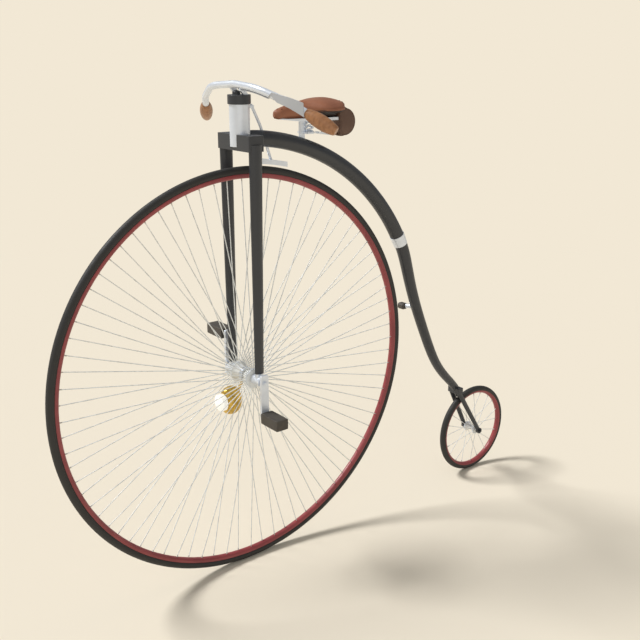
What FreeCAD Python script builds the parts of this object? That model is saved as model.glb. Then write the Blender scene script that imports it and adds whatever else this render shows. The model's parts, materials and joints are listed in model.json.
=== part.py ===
import FreeCAD, Part
import math
import os

# Penny farthing bicycle, an ordinary with a 52 inch driving wheel. Millimetres.
# The front of the bicycle faces -Y, its left side +X, and +Z is up. Sizes and places are laid out from
# the point on the ground under the front axle, and save() moves each piece so that the origin of the
# finished part is the rider's place on top of the saddle.

V = FreeCAD.Vector
X_AXIS, Y_AXIS, Z_AXIS = V(1, 0, 0), V(0, 1, 0), V(0, 0, 1)
LEFT, RIGHT = 1, -1

# driving dimensions
FRONT_R = 660.4                  # 52 inch wheel
REAR_R = 177.0                   # 14 inch wheel
WHEELBASE = 1086.0
SEAT = V(0, 318, 1507)           # the rider's place, on top of the saddle
HUB_Z = FRONT_R
REAR_HUB = V(0, WHEELBASE, REAR_R)
REAR_AXLE_R = 5.0
FRONT_HUB = V(0, 0, HUB_Z)

# wheels: section radius of the solid tyre, radius of the rim's lips, the rim and hub that carry them, and
# the flats that make up the tyre's round from lip to lip
FRONT_WHEEL = dict(hub=FRONT_HUB, outer=FRONT_R, section=13.1, lip=637.7, rim_half=10.3, rim_inner=623.0,
                   flange_x=43.0, flange_half=3.5, flange_r=30.0, waist_r=17.0, bore=8.0,
                   spokes=80, spoke_r=1.5, flats=9)
REAR_WHEEL = dict(hub=REAR_HUB, outer=REAR_R, section=11.8, lip=159.0, rim_half=11.4, rim_inner=148.0,
                  flange_x=22.0, flange_half=2.0, flange_r=18.0, waist_r=9.5, bore=5.06,
                  spokes=20, spoke_r=1.2, flats=7)
SPOKE_SEAT = 4.0                 # how far a spoke is screwed into the flange and the rim

# front axle, cranks and pedals
AXLE_R = 8.0
RUNNING = 0.06                   # radial clearance of a shaft in its bearing
CASE_R, CASE_X = 16.5, (48.5, 92.0)
SOCKET_TOP, SOCKET_HALF = 28.0, (9.0, 14.0)   # socket of the case, which stands up into the blade
ANKLE = 25.0                     # foot of the blade above the axle
CRANK_X = (96.0, 105.0)
CRANK_THROW = 111.0
CRANK_HALF = 13.5
CRANK_END = 25.0
PIN_R = 5.0
PEDAL_X = (109.0, 196.0)
PEDAL_HALF_Y, PEDAL_HALF_Z = 21.5, 16.8

# fork: blades of oval section, and the crown that joins them round the head tube
BLADE_TOP_X, BLADE_LOW_X = 78.5, 74.7
BLADE_TOP_OVAL, BLADE_LOW_OVAL = (14.0, 21.5), (10.5, 15.5)   # half sizes along X and Y
BLADE_TOP_Z, BLADE_TAPER_Z = 1389.0, 1360.0
CROWN_HALF_X, CROWN_Y, CROWN_Z = 86.0, (-25.2, 26.5), (1369.0, 1415.0)
CROWN_PLATE = 10.0

# steering head
HEAD_R, HEAD_TOP = 30.25, 1501.0
CAP_R, CAP_TOP = 34.5, 1528.0
BOSS_R, BOSS_Y = 12.0, -9.0
LUG_X, LUG_LEAN = (18.0, 27.0), 0.6   # the bracket's lugs, and how far they lean forward for each mm up
SPINDLE_R = 10.0
HEAD_GAP = 1.25                  # between the head tube and the crown that turns round it

# handlebar
BAR_R = 10.5
BAR_POINTS = (V(0, -14, 1558), V(120, -20, 1550), V(225, 22, 1512), V(335, 91, 1441))
BAR_BEND = 140.0
GRIP_LENGTH = 98.5

# backbone: an arc about the front axle, then a straight taper, then a bend to the rear fork
ARC_R = 741.0
UPPER_R = 24.5
NECK_Y = (29.0, 46.0, 68.0)
NECK_Z, NECK_HALF = 1404.3, (12.0, 19.8)
BAND = ((30.0, 26.3), (28.4, 25.3), (26.9, 24.6))   # angle above the axle's level, and radius there
BAND_JOINT = 28.6                # angle where the two tubes meet inside the band
REAR_CROWN = V(0, 980.5, 368)
REAR_CROWN_HALF = (29.0, 13.0, 12.3)


def save(node, shape):
    """Write one sub-part, moved to the seat origin."""
    moved = shape.copy()
    moved.translate(-SEAT)
    moved.exportStep("parts/%s.step" % node)


def rod(start, end, radius, end_radius=None):
    """Round bar between two points, tapered if a second radius is given."""
    run = end - start
    if end_radius is None or end_radius == radius:
        return Part.makeCylinder(radius, run.Length, start, run)
    return Part.makeCone(radius, end_radius, run.Length, start, run)


def cross_tube(x_from, x_to, centre, radius):
    """Cylinder along X between two stations, about a centre line through centre."""
    low, high = min(x_from, x_to), max(x_from, x_to)
    return Part.makeCylinder(radius, high - low, V(low, centre.y, centre.z), X_AXIS)


def box(x, y, z):
    """Block between two stations on each axis."""
    return Part.makeBox(x[1] - x[0], y[1] - y[0], z[1] - z[0], V(x[0], y[0], z[0]))


def outline_wire(outline, place):
    """Closed wire through flat points. A step is a point, or a pair (middle, end) for an arc, and place
    turns a pair of numbers into a point in space."""
    edges = []
    last = outline[0]
    for step in [*outline[1:], outline[0]]:
        if isinstance(step[0], tuple):
            middle, end = step
            edges.append(Part.Arc(place(last), place(middle), place(end)).toShape())
            last = end
        elif step != last:
            edges.append(Part.LineSegment(place(last), place(step)).toShape())
            last = step
    return Part.Wire(edges)


def lathe(outline, origin, along, across):
    """Turn an outline of (distance along the axis, radius) about an axis."""
    wire = outline_wire(outline, lambda p: origin + along * p[0] + across * p[1])
    return Part.Face(wire).revolve(origin, along, 360)


def dome(edge, rise):
    """Arc step for lathe: from an edge (along, radius) to the axis, rise further along, as part of a ball."""
    along, radius = edge
    ball = (radius ** 2 + rise ** 2) / (2 * abs(rise))
    half = math.asin(radius / ball) / 2
    sign = math.copysign(1, rise)
    tip = along + rise
    return (tip - sign * ball * (1 - math.cos(half)), ball * math.sin(half)), (tip, 0)


def plate(outline, place, out):
    """Flat outline pushed out into a solid."""
    return Part.Face(outline_wire(outline, place)).extrude(out)


def rounded_path(points, radius):
    """Wire of straight runs joined by tangent arcs."""
    edges = []
    start = points[0]
    for before, corner, after in zip(points, points[1:], points[2:]):
        into = (corner - before).normalize()
        away = (after - corner).normalize()
        half_turn = into.getAngle(away) / 2
        back = radius * math.tan(half_turn)
        first, second = corner - into * back, corner + away * back
        inward = (away - into).normalize()
        middle = corner + inward * (radius / math.cos(half_turn) - radius)
        edges.append(Part.LineSegment(start, first).toShape())
        edges.append(Part.Arc(first, middle, second).toShape())
        start = second
    edges.append(Part.LineSegment(start, points[-1]).toShape())
    return Part.Wire(edges)


def disc(centre, normal, radius):
    return Part.Wire(Part.Circle(centre, normal, radius).toShape())


def oval(centre, half_x, half_y):
    """Level ellipse, its long axis along Y."""
    long_axis = centre + V(0, half_y, 0)
    short_axis = centre + V(half_x, 0, 0)
    return Part.Wire(Part.Ellipse(long_axis, short_axis, centre).toShape())


def upright_oval(centre, half_x, half_z):
    """Ellipse that faces along Y, its long axis upright."""
    long_axis = centre + V(0, 0, half_z)
    short_axis = centre + V(half_x, 0, 0)
    return Part.Wire(Part.Ellipse(long_axis, short_axis, centre).toShape())


def round_pipe(path, radius):
    """Round bar that follows a wire."""
    start = path.Edges[0]
    profile = disc(start.valueAt(start.FirstParameter), start.tangentAt(start.FirstParameter), radius)
    return path.makePipeShell([profile], True, False)


def largest(shape):
    """Biggest solid of a shape that a cut has left in several pieces."""
    return max(shape.Solids, key=lambda solid: solid.Volume)


# ---- wheels

def tyre_round(w):
    """Points of the tyre's section that stand proud of the rim, from its right lip over the tread."""
    centre = w["outer"] - w["section"]
    last = math.acos((w["lip"] - centre) / w["section"])
    turns = [last * (2 * step / w["flats"] - 1) for step in range(w["flats"] + 1)]
    return [(w["section"] * math.sin(turn), centre + w["section"] * math.cos(turn)) for turn in turns]


def tyre_bed(w):
    """Bottom of the groove in which the tyre lies."""
    return 0, w["outer"] - 2 * w["section"]


def tyre(w):
    return lathe(tyre_round(w) + [tyre_bed(w)], w["hub"], X_AXIS, Z_AXIS)


def rim(w):
    """Crescent rim: a groove that holds the lower half of the tyre, and a round back towards the hub."""
    right, left = tyre_round(w)[0], tyre_round(w)[-1]
    half, lip = w["rim_half"], w["lip"]
    return lathe([right, tyre_bed(w), left, (half, lip), ((0, w["rim_inner"]), (-half, lip))],
                 w["hub"], X_AXIS, Z_AXIS)


def hub_and_spokes(w):
    """Waisted hub with two flanges, and radial spokes, every other one to the other flange."""
    inner, outer = w["flange_x"] - w["flange_half"], w["flange_x"] + w["flange_half"]
    hub = lathe([(-outer, w["bore"]), (-outer, w["flange_r"]), (-inner, w["flange_r"]),
                 ((0, w["waist_r"]), (inner, w["flange_r"])), (outer, w["flange_r"]), (outer, w["bore"])],
                w["hub"], X_AXIS, Z_AXIS)
    spokes = []
    for number in range(w["spokes"]):
        turn = 2 * math.pi * number / w["spokes"]
        side = LEFT if number % 2 == 0 else RIGHT
        out = V(0, math.sin(turn), math.cos(turn))
        foot = w["hub"] + out * (w["flange_r"] - SPOKE_SEAT) + X_AXIS * side * w["flange_x"]
        tip = w["hub"] + out * (w["rim_inner"] + SPOKE_SEAT) + X_AXIS * side * 2
        spokes.append(rod(foot, tip, w["spoke_r"]))
    return hub.multiFuse(spokes)


def front_axle():
    return cross_tube(-CRANK_X[1] - 2, CRANK_X[1] + 2, FRONT_HUB, AXLE_R)


def crank(side):
    """Straight arm, down on the left and up on the right, bored for the axle and the pedal pin."""
    down = -side
    top, low = HUB_Z - down * CRANK_END, HUB_Z + down * (CRANK_THROW + CRANK_END / 2)
    arm = box(sorted(side * x for x in CRANK_X), (-CRANK_HALF, CRANK_HALF), sorted((top, low)))
    corners = [e for e in arm.Edges if abs(e.tangentAt(e.FirstParameter).x) > 0.9]
    arm = arm.makeFillet(4.0, corners)
    for centre, radius in ((FRONT_HUB, AXLE_R), (pin_centre(side), PIN_R)):
        arm = arm.cut(cross_tube(side * (CRANK_X[0] - 1), side * (CRANK_X[1] + 1), centre, radius))
    return arm


def pin_centre(side):
    return V(0, 0, HUB_Z - side * CRANK_THROW)


def pedal_pin(side):
    return cross_tube(side * CRANK_X[0], side * (PEDAL_X[1] - 8), pin_centre(side), PIN_R)


def pedal(side):
    """Rubber block with bevelled edges, bored from the crank's side for its pin."""
    centre = pin_centre(side)
    block = box(sorted(side * x for x in PEDAL_X), (-PEDAL_HALF_Y, PEDAL_HALF_Y),
                (centre.z - PEDAL_HALF_Z, centre.z + PEDAL_HALF_Z))
    block = block.makeChamfer(1.5, block.Edges)
    return block.cut(cross_tube(side * (PEDAL_X[0] - 1), side * (PEDAL_X[1] - 7), centre, PIN_R + RUNNING))


# ---- hub lamp

LAMP_Z = 587.0                   # height of the lamp's middle, which points forward
LENS_Y, LENS_R, LENS_RISE = (-104.0, -84.0), 27.5, 9.0
DRUM = ((-90.0, 22.0, 30.0), (-80.0, 28.0, 42.0), (-62.0, 30.0, 47.0), (-44.0, 28.0, 44.0), (-32.0, 21.0, 33.0),
        (-26.0, 10.0, 16.0))     # place along Y, half width and half height
RING_BORE, RING_OUTER, RING_HALF = 21.0, 25.0, 6.0
STRAP_HALF = 4.0


def lamp_drum():
    sections = [upright_oval(V(0, y, LAMP_Z), half_x, half_z) for y, half_x, half_z in DRUM]
    return Part.makeLoft(sections, True, True)


def lamp_body():
    """Egg-shaped brass case, with its mouth round the lens."""
    return lamp_drum().cut(lamp_lens())


def lamp_lens():
    """Deep bull's-eye lens that stands out of the front of the case."""
    front, back = LENS_Y
    edge = (front, LENS_R)
    return lathe([(back, 0), (back, LENS_R), edge, dome(edge, -LENS_RISE)], V(0, 0, LAMP_Z), Y_AXIS, Z_AXIS)


def lamp_hanger():
    """Ring round the waist of the hub, with a strap down to the lamp's case."""
    ring = cross_tube(-RING_HALF, RING_HALF, FRONT_HUB, RING_OUTER)
    toward = V(0, (DRUM[2][0] + DRUM[3][0]) / 2, LAMP_Z) - FRONT_HUB
    strap = Part.makeBox(2 * STRAP_HALF, 5, toward.Length)
    strap.translate(V(-STRAP_HALF, -2.5, 0))
    strap.Placement = FreeCAD.Placement(FRONT_HUB, FreeCAD.Rotation(Z_AXIS, toward)).multiply(strap.Placement)
    whole = ring.fuse(strap).cut(cross_tube(-RING_HALF - 1, RING_HALF + 1, FRONT_HUB, RING_BORE))
    return whole.cut(lamp_drum())


# ---- fork and steering

def blade_socket(side):
    """Oval stub on the axle case that fits into the foot of the blade."""
    return Part.Face(oval(V(side * BLADE_LOW_X, 0, HUB_Z), *SOCKET_HALF)).extrude(Z_AXIS * SOCKET_TOP)


def axle_case(side):
    outer = cross_tube(side * CASE_X[0], side * CASE_X[1], FRONT_HUB, CASE_R).fuse(blade_socket(side))
    return outer.cut(cross_tube(side * (CASE_X[0] - 1), side * (CASE_X[1] + 1), FRONT_HUB, AXLE_R + RUNNING))


def fork_blade(side):
    """Oval tube, widest under the crown, with its foot on the socket of the axle case."""
    low = oval(V(side * BLADE_LOW_X, 0, HUB_Z + ANKLE), *BLADE_LOW_OVAL)
    high = oval(V(side * BLADE_TOP_X, 0, BLADE_TAPER_Z), *BLADE_TOP_OVAL)
    blade = Part.makeLoft([low, high], True, True)
    neck = Part.Face(high).extrude(Z_AXIS * (BLADE_TOP_Z - BLADE_TAPER_Z))
    return blade.fuse(neck).cut(blade_socket(side))


def fork_crown():
    """Block across the head: cheeks on both sides of the head tube, joined under it by a plate, and open
    at the back so that the backbone's neck clears the cheeks when the fork turns."""
    crown = box((-CROWN_HALF_X, CROWN_HALF_X), CROWN_Y, CROWN_Z)
    corners = [e for e in crown.Edges if abs(e.tangentAt(e.FirstParameter).z) > 0.9]
    crown = crown.makeFillet(4.0, corners)
    floor = CROWN_Z[0] + CROWN_PLATE
    crown = crown.cut(Part.makeCylinder(HEAD_R + HEAD_GAP, CROWN_Z[1], V(0, 0, floor)))
    back = [(-29.5, 12.5), (-41.0, CROWN_Y[1] + 1), (41.0, CROWN_Y[1] + 1), (29.5, 12.5)]
    crown = crown.cut(plate(back, lambda p: V(p[0], p[1], floor), Z_AXIS * 60))
    for side in (LEFT, RIGHT):
        socket = oval(V(side * BLADE_TOP_X, 0, CROWN_Z[0] - 1), *BLADE_TOP_OVAL)
        crown = crown.cut(Part.Face(socket).extrude(Z_AXIS * (BLADE_TOP_Z - CROWN_Z[0] + 1)))
    return crown


def spindle():
    return rod(V(0, 0, CROWN_Z[0] + CROWN_PLATE), V(0, 0, CAP_TOP), SPINDLE_R)


def head_cap():
    """Deep cap that closes the head, with a rounded boss between the lugs of the bracket."""
    cap = lathe([(HEAD_TOP, SPINDLE_R), (HEAD_TOP, CAP_R - 1), (HEAD_TOP + 1, CAP_R), (CAP_TOP - 1, CAP_R),
                 (CAP_TOP, CAP_R - 1), (CAP_TOP, SPINDLE_R)], V(0, 0, 0), Z_AXIS, X_AXIS)
    edge = (CAP_TOP + 8, BOSS_R)
    boss = lathe([(CAP_TOP, 0), (CAP_TOP, BOSS_R), edge, dome(edge, 5)], V(0, BOSS_Y, 0), Z_AXIS, X_AXIS)
    return cap.fuse(boss)


def handlebar():
    """Bar that rises a little forward of the head, then sweeps back and down to the grips."""
    half = list(BAR_POINTS)
    points = [V(-p.x, p.y, p.z) for p in reversed(half[1:])] + half
    return round_pipe(rounded_path(points, BAR_BEND), BAR_R)


def bracket(bar):
    """Two lugs that stand on the cap, lean forward and cradle the bar."""
    lugs = []
    base, top = CAP_TOP, BAR_POINTS[0].z
    lean = LUG_LEAN * (top - base)
    for side in (LEFT, RIGHT):
        low, high = sorted(side * x for x in LUG_X)
        front, back = BAR_POINTS[0].y - BAR_R + lean, BAR_POINTS[0].y + BAR_R + lean
        outline = [(front + 6, base), (back, base), (back - lean, top - 2), (front - lean, top - 2)]
        lug = plate(outline, lambda p: V(low, p[0], p[1]), X_AXIS * (high - low))
        lugs.append(lug.cut(bar))
    return Part.makeCompound(lugs)


def grip(side):
    """Turned barrel on the end of the bar."""
    end = V(side * BAR_POINTS[3].x, BAR_POINTS[3].y, BAR_POINTS[3].z)
    inner = V(side * BAR_POINTS[2].x, BAR_POINTS[2].y, BAR_POINTS[2].z)
    along = (end - inner).normalize()
    start = end - along * GRIP_LENGTH
    across = along.cross(Z_AXIS).normalize()
    return lathe([(0, BAR_R), (0, 12), ((42, 20.5), (97, 14)), (100, 11), (100, 0), (GRIP_LENGTH, 0),
                  (GRIP_LENGTH, BAR_R)], start, along, across)


def brake_lever():
    """Round lever under the left half of the bar, pivoted beside the bracket."""
    drop = V(0, 0, -(BAR_R + 6))
    points = [p + drop for p in BAR_POINTS[1:3]]
    start = V(31, -15, 1538)
    end = BAR_POINTS[2] + (BAR_POINTS[3] - BAR_POINTS[2]) * 0.25 + drop
    return round_pipe(rounded_path([start, points[0], points[1], end], 100.0), 4.0)


# ---- frame

def head_tube():
    low = CROWN_Z[0] + CROWN_PLATE + 0.5
    tube = rod(V(0, 0, low), V(0, 0, HEAD_TOP - 0.5), HEAD_R)
    return tube.cut(rod(V(0, 0, low - 1), V(0, 0, HEAD_TOP), SPINDLE_R + RUNNING))


def on_arc(degrees, radius=ARC_R):
    """Point on a circle about the front axle, at an angle above the axle's level behind it."""
    turn = math.radians(degrees)
    return V(0, radius * math.cos(turn), HUB_Z + radius * math.sin(turn))


def arc_angle(y):
    return math.degrees(math.acos(y / ARC_R))


def arc_tangent(degrees):
    turn = math.radians(degrees)
    return V(0, math.sin(turn), -math.cos(turn))


def upper_backbone():
    """Neck from the head tube, swelling to a round tube that follows the wheel down to the band."""
    start, end = arc_angle(NECK_Y[2]), BAND_JOINT
    path = Part.Wire(Part.Arc(on_arc(start), on_arc((start + end) / 2), on_arc(end)).toShape())
    arch = round_pipe(path, UPPER_R)
    sections = [upright_oval(V(0, y, NECK_Z), *NECK_HALF) for y in NECK_Y[:2]]
    sections.append(disc(on_arc(start), arc_tangent(start), UPPER_R))
    root = Part.makeLoft(sections[:2], True, True)
    swell = Part.makeLoft(sections[1:], True, True)
    return arch.fuse([root, swell]).removeSplitter().cut(rod(V(0, 0, CROWN_Z[0]), V(0, 0, HEAD_TOP), HEAD_R))


def band():
    """Tapered sleeve over the joint of the two tubes."""
    return Part.makeLoft([disc(on_arc(turn), arc_tangent(turn), radius) for turn, radius in BAND], True, True)


# stations of the lower tube from the band down: place along Y and Z, slope along Y and Z, and radius
TAIL = ((650.6, 1015.1, 0.48, -0.88, 22.8), (684, 941.6, 0.345, -0.94, 21.8), (715.5, 838.8, 0.32, -0.95, 20.2),
        (774, 687, 0.39, -0.92, 18.7), (838, 549, 0.49, -0.87, 17.6), (874.5, 490, 0.60, -0.80, 16.8),
        (921.5, 435.5, 0.69, -0.72, 15.9), (968, 388, 0.66, -0.75, 15.0), (997, 344, 0.51, -0.86, 13.5))


def lower_backbone():
    """Tube that narrows from the band to the rear fork, leaving the wheel's curve to reach the rear crown."""
    sections = [disc(V(0, y, z), V(0, slope_y, slope_z), radius) for y, z, slope_y, slope_z, radius in TAIL]
    return Part.makeLoft(sections, True, False)


def rear_crown():
    """Cross piece on the end of the lower backbone."""
    half_x, half_y, half_z = REAR_CROWN_HALF
    block = box((-half_x, half_x), (REAR_CROWN.y - half_y, REAR_CROWN.y + half_y),
                (REAR_CROWN.z - half_z, REAR_CROWN.z + half_z))
    return block.makeChamfer(1.5, block.Edges)


REAR_LEG_TOP, REAR_LEG_FOOT = (6.5, 12.2), (5.7, 10.7)        # half sizes along X and Y
REAR_LEG_TOP_X, REAR_LEG_FOOT_X = 20.8, 39.0
REAR_EYE_R = 11.5


def rear_blade(side):
    """Flat oval leg from the cross piece to the rear axle, with an eye round the axle."""
    high = V(side * REAR_LEG_TOP_X, REAR_CROWN.y + 1, REAR_CROWN.z - REAR_CROWN_HALF[2])
    foot = V(side * REAR_LEG_FOOT_X, WHEELBASE, REAR_R)
    ankle = foot + (high - foot) * 0.1
    low = oval(ankle, *REAR_LEG_FOOT)
    leg = Part.makeLoft([oval(high, *REAR_LEG_TOP), low], True, True)
    eye = cross_tube(side * 33, side * 45, REAR_HUB, REAR_EYE_R).fuse(Part.Face(low).extrude(foot - ankle))
    return leg.fuse(eye.cut(cross_tube(side * 20, side * 60, REAR_HUB, REAR_AXLE_R)))


def rear_axle():
    return cross_tube(-48, 48, REAR_HUB, REAR_AXLE_R)


# ---- brake

ROD_POINTS = (V(0, 41, 1498), V(0, 72, 1436), V(0, 110, 1330))
ROD_R = 4.25
SPOON_Y, SPOON_TOP, SPOON_HALF, SPOON_GAP = (64.0, 160.0), (1340.0, 1323.0), 17.0, 5.8
GUIDE_HALF, GUIDE_Z = 6.5, (1488.0, 1496.0)


def brake_rod():
    """Rod that comes down behind the head, through the backbone, to the spoon."""
    return round_pipe(rounded_path(list(ROD_POINTS), 120.0), ROD_R).cut(brake_spoon())


def brake_spoon():
    """Shoe over the tyre, its underside curved to the wheel."""
    radius = FRONT_R + SPOON_GAP

    def under(y):
        return (y, HUB_Z + math.sqrt(radius ** 2 - y ** 2))
    front, back = SPOON_Y
    outline = [under(front), (under((front + back) / 2), under(back)),
               (back, SPOON_TOP[1]), (front, SPOON_TOP[0])]
    return plate(outline, lambda p: V(-SPOON_HALF, p[0], p[1]), X_AXIS * 2 * SPOON_HALF)


def rod_guide():
    """Lug on the back of the head tube that guides the top of the brake rod."""
    lug = box((-GUIDE_HALF, GUIDE_HALF), (HEAD_R - 3, ROD_POINTS[0].y + GUIDE_HALF), GUIDE_Z)
    return lug.cut(rod(V(0, 0, GUIDE_Z[0]), V(0, 0, GUIDE_Z[1]), HEAD_R)).cut(brake_rod())


# ---- saddle and tool bag

POST_Y, POST_HALF = 228.0, (4.8, 8.3)
PLATE_TOP = 1451.0
PLATE_PLAN = ((8, 137), (25, 190), (43, 285), (43, 342))      # half width and place along Y
PLATE_SIDE = ((137, 1450.3), (137, 1453.5), (165, PLATE_TOP), (342, PLATE_TOP), (342, 1441.8), (205, 1442.5))
SEAT_HALF, SEAT_Y, SEAT_CORNER, SEAT_Z = 28.0, (232.0, 263.0), 9.0, (1403.0, 1408.0)   # tray for the coils
COIL_X, COIL_Y, COIL_R, COIL_WIRE, COIL_TURNS = 14.5, 249.5, 8.5, 3.0, 3
BAG_CENTRE, BAG_R, BAG_HALF, BAG_FRONT = V(0, 363, 1435.4), 43.8, 50.0, 340.0
LEAF_HALF, TONGUE_HALF = 4.0, 10.0
LEAF_SIDE = ((SEAT_Y[1], 1403.5), (SEAT_Y[1], 1406.5), (292, 1405.5), (292, 1402.5))
TONGUE_SIDE = ((289, 1399.5), (289, 1406.5), (352, 1397.5), (352, 1390.5))
BELLY_Z, BELLY_WIDTH = PLATE_TOP - 0.8, 0.6   # the leather top's belly, which rests on the plate

# sections of the leather top: place along Y, half width, heights of its lower edge, upper edge and crest
COVER = ((118, 17, 1454, 1463, 1474), (140, 24, 1454, 1466, 1482), (170, 29, 1456, 1471, 1489),
         (205, 38, 1460, 1476, 1496), (240, 60, 1470, 1480, 1501.5), (272, 84, 1470, 1481, 1506),
         (318, 92, 1468, 1479, SEAT.z), (352, 88, 1469, 1479, 1501.5), (384, 66, 1470, 1477, 1488))


def from_side(outline, half):
    """Side outline of points along Y and Z, spread evenly across the bicycle."""
    return plate(outline, lambda p: V(-half, p[0], p[1]), X_AXIS * 2 * half)


def saddle_plate(cover):
    """Sprung plate under the saddle, narrow and thin at the nose, that carries the bag at its back."""
    plan = PLATE_PLAN + tuple((-x, y) for x, y in reversed(PLATE_PLAN))
    whole = from_side(PLATE_SIDE, BAG_HALF)
    whole = whole.common(plate(plan, lambda p: V(p[0], p[1], BAG_CENTRE.z), Z_AXIS * BAG_R))
    return largest(whole.cut(cover)).cut(tool_bag())


def saddle_post(backbone, under_plate):
    """Flat strut from the backbone up to the plate, with a tray for the coils behind it."""
    half_x, half_y = POST_HALF
    post = box((-half_x, half_x), (POST_Y - half_y, POST_Y + half_y), (1370, PLATE_TOP - 4))
    front, back = SEAT_Y
    half = [(SEAT_HALF, front), (SEAT_HALF, back - SEAT_CORNER), (SEAT_HALF - SEAT_CORNER, back)]
    tray = plate(half + [(-x, y) for x, y in reversed(half)], lambda p: V(p[0], p[1], SEAT_Z[0]),
                 Z_AXIS * (SEAT_Z[1] - SEAT_Z[0]))
    return post.fuse(tray).cut(backbone).cut(under_plate)


def saddle_coil(side, under_plate, post):
    """Coil spring of six-sided wire between the tray and the plate."""
    low, high = SEAT_Z[1] - 1, PLATE_SIDE[-1][1] + 1
    helix = Part.makeHelix((high - low) / COIL_TURNS, high - low, COIL_R)
    helix.translate(V(side * COIL_X, COIL_Y, low))
    start = V(side * COIL_X + COIL_R, COIL_Y, low)
    corners = [start + (X_AXIS * math.cos(turn) + Z_AXIS * math.sin(turn)) * COIL_WIRE
               for turn in (math.radians(60 * step) for step in range(7))]
    coil = Part.Wire(helix).makePipeShell([Part.makePolygon(corners)], True, True)
    return coil.cut(under_plate).cut(post)


def spring_leaf():
    """Leaf from the coils' tray back to a tongue that reaches under the front of the bag."""
    return from_side(TONGUE_SIDE, TONGUE_HALF).fuse(from_side(LEAF_SIDE, LEAF_HALF)).cut(tool_bag())


def tool_bag():
    """Round bag under the back of the saddle, lying across the bicycle, with a flat front."""
    bag = cross_tube(-BAG_HALF, BAG_HALF, BAG_CENTRE, BAG_R)
    behind = box((-BAG_HALF, BAG_HALF), (BAG_FRONT, BAG_FRONT + 2 * BAG_R),
                 (BAG_CENTRE.z - BAG_R, BAG_CENTRE.z + BAG_R))
    bag = bag.common(behind)
    return bag.makeChamfer(3.5, bag.Edges)


def cover_section(y, half, under, edge, crest):
    """Crowned strip of leather across the saddle, with a belly that rests on the plate."""
    inner = BELLY_WIDTH * half
    section = [(-half, under), (-half, edge), ((0, crest), (half, edge)), (half, under), (inner, under),
               ((0, BELLY_Z), (-inner, under))]
    return outline_wire(section, lambda p: V(p[0], y, p[1]))


def saddle_cover():
    """Leather top: a crowned loft from nose to back, trimmed to its plan and hollowed for the bag."""
    top = Part.makeLoft([cover_section(*station) for station in COVER], True, False)
    plan = [(0, 121), ((15, 127), (20, 144)), ((31, 208), (63, 250)), ((89, 298), (78, 338)),
            ((50, 362), (0, 374)), ((-50, 362), (-78, 338)), ((-89, 298), (-63, 250)),
            ((-31, 208), (-20, 144)), ((-15, 127), (0, 121))]
    top = top.common(plate(plan, lambda p: V(p[0], p[1], 1400), Z_AXIS * 200))
    room = cross_tube(-BAG_HALF - 3, BAG_HALF + 3, BAG_CENTRE, BAG_R + 3)
    ahead = box((-BAG_HALF - 4, BAG_HALF + 4), (BAG_CENTRE.y - 2 * BAG_R, BAG_FRONT - 3), (1380, SEAT.z))
    return top.cut(room.cut(ahead))


# ---- mounting step

STEP_AT, STEP_HALF, STEP_ARM_R = V(-51, 728, 746), (17.0, 13.0, 11.0), 8.5


def step_tread():
    """Faceted tread beside the lower backbone, on its right."""
    half_x, half_y, half_z = STEP_HALF
    tread = box((STEP_AT.x - half_x, STEP_AT.x + half_x), (STEP_AT.y - half_y, STEP_AT.y + half_y),
                (STEP_AT.z - half_z, STEP_AT.z + half_z))
    return tread.makeChamfer(5.5, tread.Edges)


def step_bracket(lower):
    arm = rod(V(STEP_AT.x, STEP_AT.y, STEP_AT.z), V(0, STEP_AT.y + 22, STEP_AT.z + 4), STEP_ARM_R)
    return arm.cut(lower).cut(step_tread())


def main():
    os.makedirs("parts", exist_ok=True)
    for name, w in (("front", FRONT_WHEEL), ("rear", REAR_WHEEL)):
        save(name + "_tyre", tyre(w))
        save(name + "_rim", rim(w))
        save(name + "_hub_and_spokes", hub_and_spokes(w))
    save("front_axle", front_axle())
    for name, side in (("left", LEFT), ("right", RIGHT)):
        save("crank_" + name, crank(side))
        save("pedal_pin_" + name, pedal_pin(side))
        save("pedal_" + name, pedal(side))
        save("axle_case_" + name, axle_case(side))
        save("fork_blade_" + name, fork_blade(side))
        save("grip_" + name, grip(side))
        save("rear_blade_" + name, rear_blade(side))
    save("lamp_body", lamp_body())
    save("lamp_lens", lamp_lens())
    save("lamp_hanger", lamp_hanger())
    save("fork_crown", fork_crown())
    save("steering_spindle", spindle())
    save("head_cap", head_cap())
    bar = handlebar()
    save("handlebar", bar)
    save("handlebar_bracket", bracket(bar))
    save("brake_lever", brake_lever())
    save("head_tube", head_tube())
    upper = upper_backbone()
    plunger = brake_rod()
    save("brake_rod", plunger)
    save("brake_spoon", brake_spoon())
    save("rod_guide", rod_guide())
    save("upper_backbone", upper.cut(plunger))
    clamp = band()
    lower = lower_backbone()
    save("backbone_band", clamp.cut(upper).cut(lower))
    save("lower_backbone", lower.cut(upper))
    save("step_tread", step_tread())
    save("step_bracket", step_bracket(lower))
    cover = saddle_cover()
    save("saddle_cover", cover)
    save("tool_bag", tool_bag())
    under_plate = saddle_plate(cover)
    save("saddle_plate", under_plate)
    post = saddle_post(upper, under_plate)
    save("saddle_post", post)
    save("spring_bridge", spring_leaf())
    save("saddle_coil_left", saddle_coil(LEFT, under_plate, post))
    save("saddle_coil_right", saddle_coil(RIGHT, under_plate, post))
    save("rear_crown", rear_crown().cut(lower))
    save("rear_axle", rear_axle())


main()
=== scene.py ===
import bpy
import bmesh
import json
import math
from mathutils import Matrix, Vector
from mathutils.bvhtree import BVHTree


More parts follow.
